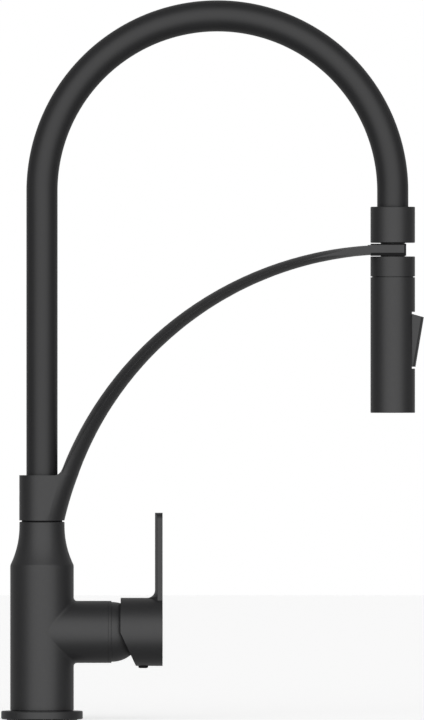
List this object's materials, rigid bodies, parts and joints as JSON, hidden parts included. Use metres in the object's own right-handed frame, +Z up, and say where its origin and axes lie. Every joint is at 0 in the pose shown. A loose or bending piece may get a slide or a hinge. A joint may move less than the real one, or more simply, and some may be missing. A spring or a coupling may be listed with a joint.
{
  "type": "kitchen tap with a pull-off spray head",
  "caption": "Deck-mounted single-lever kitchen mixer tap with a tall arched hose, a curved support arm and a slim pull-off spray head docked in a fork.",
  "frame": {"origin": "centre of the base gasket's underside, on the deck", "axes": "+Z up the column, +X along the spout and the cartridge housing, +Y to the rear of the pictured side"},
  "size_m": [0.2993, 0.0578, 0.5696],
  "materials": {
    "matte_black_metal": "matte black powder coat",
    "silicone_sleeve": "matte silicone",
    "black_plastic": "moulded, satin",
    "black_rubber": "matte",
    "grey_plastic": "moulded",
    "white_plastic": "moulded",
    "brass": "turned",
    "steel": "zinc plated",
    "ceramic": "lapped"
  },
  "bodies": {
    "body": {"base_gasket": "black_rubber", "base_ring": "matte_black_metal", "main_body": "matte_black_metal", "retaining_screw": "steel", "swivel_bearing": "white_plastic", "slide_washer": "black_plastic", "fixing_studs": "steel", "horseshoe_gasket": "black_rubber", "horseshoe_plate": "steel", "fixing_nuts": "steel", "cartridge_seals": "black_rubber", "cartridge_base": "grey_plastic", "fixed_disc": "ceramic", "cartridge_housing": "grey_plastic", "cartridge_nut": "brass", "dome_cover": "matte_black_metal"},
    "rotor": {"cartridge_rotor": "white_plastic", "stem_pin": "steel"},
    "handle": {"stem": "steel", "lever_handle": "matte_black_metal", "handle_screw": "steel", "handle_plug": "black_plastic"},
    "disc": {"moving_disc": "ceramic", "disc_driver": "white_plastic"},
    "spout": {"swivel_spigot": "brass", "spigot_o_rings": "black_rubber", "hose_base_fitting": "brass", "hose_sleeve": "silicone_sleeve", "hose_coil": "steel", "hose_inner_tube": "grey_plastic", "support_arm": "matte_black_metal", "collar_screw": "steel", "fork_insert": "black_plastic"},
    "hose_end": {"hose_ferrule": "matte_black_metal", "hose_end_stem": "matte_black_metal", "stem_o_ring": "black_rubber", "stem_circlip": "steel"},
    "head": {"head_top_collar": "matte_black_metal", "head_shell": "matte_black_metal", "spray_core": "grey_plastic", "check_valve": "white_plastic", "spray_face": "black_plastic", "spray_nozzles": "black_rubber", "aerator_housing": "black_plastic", "aerator_mesh": "steel", "rocker_pin": "steel", "spool_spring": "steel"},
    "rocker": {"rocker_button": "matte_black_metal"},
    "spool": {"diverter_spool": "white_plastic"}
  },
  "joints": [
    {"name": "spout_swivel", "type": "hinge", "parent": "body", "child": "spout", "pos_m": [0, 0, 0.14], "axis": [0, 0, 1], "continuous": true},
    {"name": "handle_temperature", "type": "hinge", "parent": "body", "child": "rotor", "pos_m": [0.0495, 0, 0.06236], "axis": [1, 0, 0], "range_deg": [-45, 45]},
    {"name": "handle_lift", "type": "hinge", "parent": "rotor", "child": "handle", "pos_m": [0.0495, 0, 0.06236], "axis": [0, 1, 0], "range_deg": [0, 24]},
    {"name": "disc_slide", "type": "slide", "parent": "rotor", "child": "disc", "axis": [0, 0, 1], "range_m": [0, 0.0062]},
    {"name": "head_undock", "type": "slide", "parent": "spout", "child": "hose_end", "axis": [1, 0, 0], "range_m": [0, 0.06], "deforming": ["hose_sleeve", "hose_coil", "hose_inner_tube"]},
    {"name": "head_spin", "type": "hinge", "parent": "hose_end", "child": "head", "pos_m": [0.2484, 0, 0.3145], "axis": [0, 0, 1], "continuous": true},
    {"name": "rocker_press", "type": "hinge", "parent": "head", "child": "rocker", "pos_m": [0.2599, 0, 0.2525], "axis": [0, -1, 0], "range_deg": [0, 9.6], "stiffness_Nm_per_rad": 0.4, "springref_deg": -14.32},
    {"name": "spool_slide", "type": "slide", "parent": "head", "child": "spool", "axis": [-1, 0, 0], "range_m": [0, 0.0047], "deforming": ["spool_spring"]}
  ],
  "couplings": [
    {"joint": "disc_slide", "follows": "handle_lift", "m_per_rad": 0.01456},
    {"joint": "spool_slide", "follows": "rocker_press", "m_per_rad": 0.02745}
  ]
}
